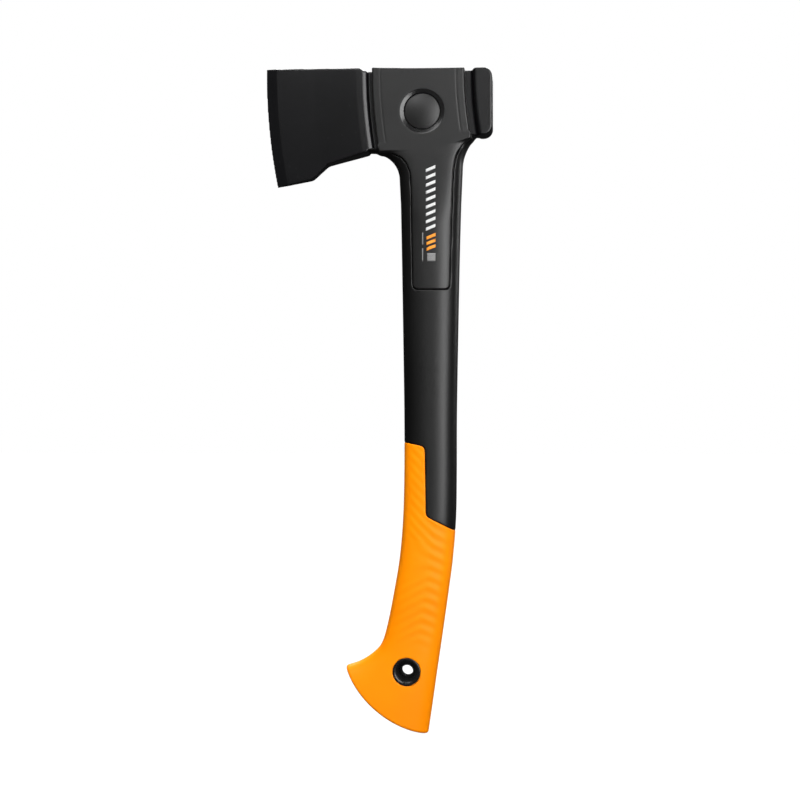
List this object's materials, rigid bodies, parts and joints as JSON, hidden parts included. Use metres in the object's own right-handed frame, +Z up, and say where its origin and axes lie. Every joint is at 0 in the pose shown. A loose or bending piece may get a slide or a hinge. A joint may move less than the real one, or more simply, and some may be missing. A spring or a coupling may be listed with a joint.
{
  "type": "felling axe",
  "caption": "Compact felling axe: black coated steel head with stepped beard and block poll, moulded oval handle with side panels, orange hooked grip with a hang hole.",
  "frame": {"origin": "centre of the hang hole, midway through the thickness", "axes": "+Z up the handle towards the head, -X towards the cutting edge, +Y through the thickness towards the tool's right side"},
  "size_m": [0.1525, 0.0252, 0.4464],
  "materials": {
    "head_coating": "low-friction satin black coating on forged steel",
    "handle_black": "fibre-reinforced moulded plastic, satin black",
    "panel_grey": "finely textured dark grey moulding",
    "cap_grey": "smooth satin dark grey moulding",
    "grip_orange": "soft orange overmould with low ridges",
    "eyelet_black": "glossy black moulding",
    "pin_steel": "plain turned steel",
    "plug_black": "plain moulding, hidden"
  },
  "bodies": {
    "root": {"axe_head": "head_coating", "handle_core": "handle_black", "side_panel_left": "panel_grey", "side_panel_right": "panel_grey", "pin_cap_left": "cap_grey", "pin_cap_right": "cap_grey", "grip_sleeve": "grip_orange", "hang_eyelet": "eyelet_black", "lock_pin": "pin_steel", "end_plug": "plug_black"}
  },
  "joints": []
}
